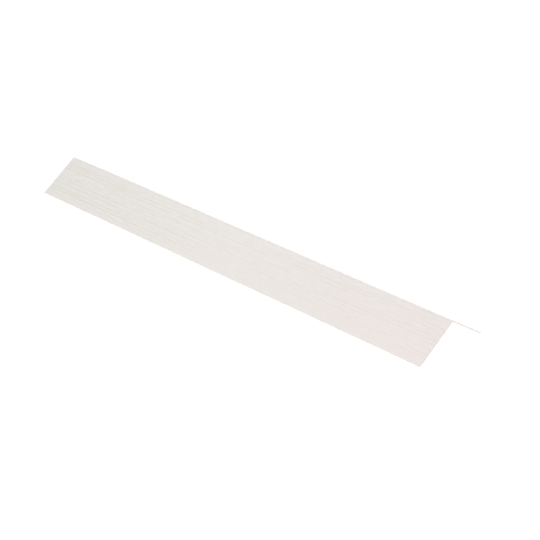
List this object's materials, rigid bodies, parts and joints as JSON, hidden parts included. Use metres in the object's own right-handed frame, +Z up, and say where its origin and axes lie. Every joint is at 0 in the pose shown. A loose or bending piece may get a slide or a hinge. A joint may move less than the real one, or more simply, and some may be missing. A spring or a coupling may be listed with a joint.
{
  "type": "siding outside corner",
  "caption": "Plain L-shaped outside corner trim for siding: equal flat legs meeting in a tight rounded fold at an open angle, woodgrain-embossed outer faces, square-cut ends.",
  "frame": {"origin": "on the floor, under the middle of the fold; the piece stands fold up, on its two free edges", "axes": "+X along the piece, parallel to the fold; +Y from one free edge across to the other; +Z up, from the floor towards the fold"},
  "size_m": [0.915, 0.1494, 0.0507],
  "materials": {
    "woodgrain_vinyl": "satin"
  },
  "bodies": {
    "root": {"corner_profile": "woodgrain_vinyl"}
  },
  "joints": []
}
